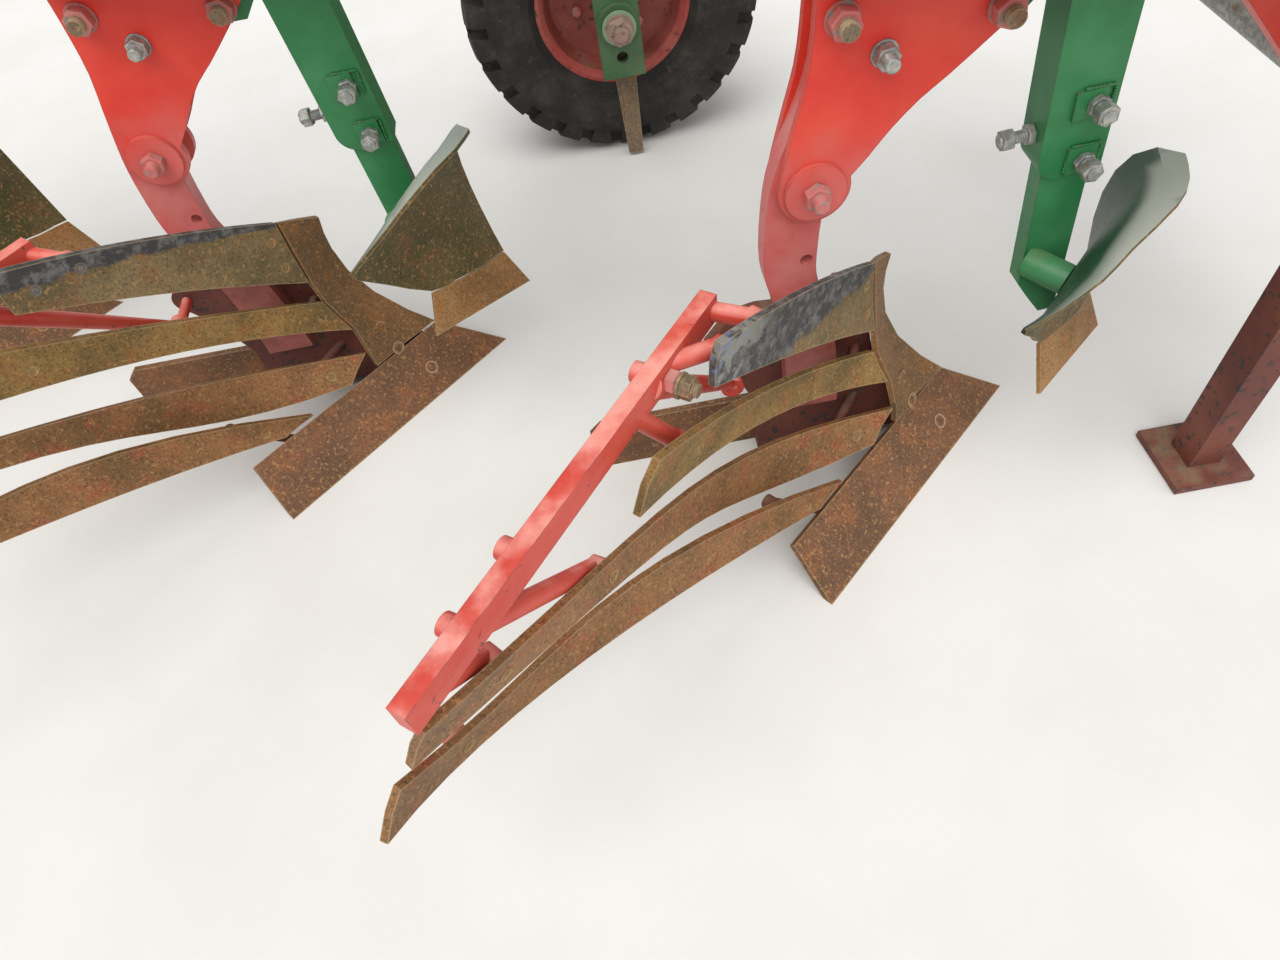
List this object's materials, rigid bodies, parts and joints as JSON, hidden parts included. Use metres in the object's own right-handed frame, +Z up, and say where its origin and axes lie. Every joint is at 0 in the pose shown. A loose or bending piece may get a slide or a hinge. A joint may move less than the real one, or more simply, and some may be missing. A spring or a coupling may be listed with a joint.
{
  "type": "mounted moldboard plough with slatted boards",
  "caption": "Tractor-mounted plough: square beam with bodies of twisted slats on shear-bolt legs, skimmers, depth wheel and three-point headstock.",
  "frame": {"origin": "on the ground under the middle of the machine's box", "axes": "+X the direction of travel, +Y the unploughed land on the left, +Z up"},
  "size_m": [3.0103, 1.7794, 1.435],
  "materials": {
    "red_paint": "bright red enamel, chipped and dusty",
    "faded_red_paint": "red enamel faded to pink, worn by soil",
    "green_paint": "green enamel, dusty",
    "dark_green_paint": "dark green enamel worn to rust on the soil face",
    "scoured_steel": "scoured steel under thin brown rust",
    "rusty_steel": "orange-brown rust",
    "red_oxide": "red-brown primer, dusty",
    "zinc_steel": "zinc-plated steel, dull",
    "tyre": "black rubber, dusty"
  },
  "bodies": {
    "root": {"leg_1": "red_paint", "leg_clamp_1": "red_paint", "shank_1": "faded_red_paint", "frog_1": "red_oxide", "share_1": "rusty_steel", "shin_1": "scoured_steel", "slats_1": "scoured_steel", "landside_1": "rusty_steel", "stay_1": "faded_red_paint", "skimmer_holder_1": "green_paint", "skimmer_stem_1": "green_paint", "skimmer_board_1": "dark_green_paint", "skimmer_share_1": "rusty_steel", "leg_2": "red_paint", "leg_clamp_2": "red_paint", "shank_2": "faded_red_paint", "frog_2": "red_oxide", "share_2": "rusty_steel", "shin_2": "scoured_steel", "slats_2": "scoured_steel", "landside_2": "rusty_steel", "stay_2": "faded_red_paint", "skimmer_holder_2": "green_paint", "skimmer_stem_2": "green_paint", "skimmer_board_2": "dark_green_paint", "skimmer_share_2": "rusty_steel", "leg_3": "red_paint", "leg_clamp_3": "red_paint", "shank_3": "faded_red_paint", "frog_3": "red_oxide", "share_3": "rusty_steel", "shin_3": "scoured_steel", "slats_3": "scoured_steel", "landside_3": "rusty_steel", "stay_3": "faded_red_paint", "skimmer_holder_3": "green_paint", "skimmer_stem_3": "green_paint", "skimmer_board_3": "dark_green_paint", "skimmer_share_3": "rusty_steel", "main_beam": "green_paint", "cross_tube": "green_paint", "mast": "red_paint", "mast_brace": "red_paint", "link_bracket_left": "red_paint", "link_bracket_right": "red_paint", "link_shaft": "zinc_steel", "stand_sleeve": "green_paint", "wheel_arm": "green_paint", "wheel_sleeve": "green_paint", "wheel_screw": "zinc_steel"},
    "stand_leg": {"stand_leg": "red_oxide"},
    "wheel_leg": {"wheel_leg": "green_paint", "wheel_scraper": "red_oxide"},
    "wheel": {"wheel_rim": "red_oxide", "wheel_tyre": "tyre"}
  },
  "joints": [
    {"name": "stand_slide", "type": "slide", "parent": "root", "child": "stand_leg", "axis": [0, 0, 1], "range_m": [0, 0.35]},
    {"name": "wheel_depth", "type": "slide", "parent": "root", "child": "wheel_leg", "axis": [0, 0, 1], "range_m": [0, 0.25]},
    {"name": "wheel_spin", "type": "hinge", "parent": "wheel_leg", "child": "wheel", "pos_m": [0.62112, 0.80067, 0.3145], "axis": [0, 1, 0], "continuous": true}
  ]
}
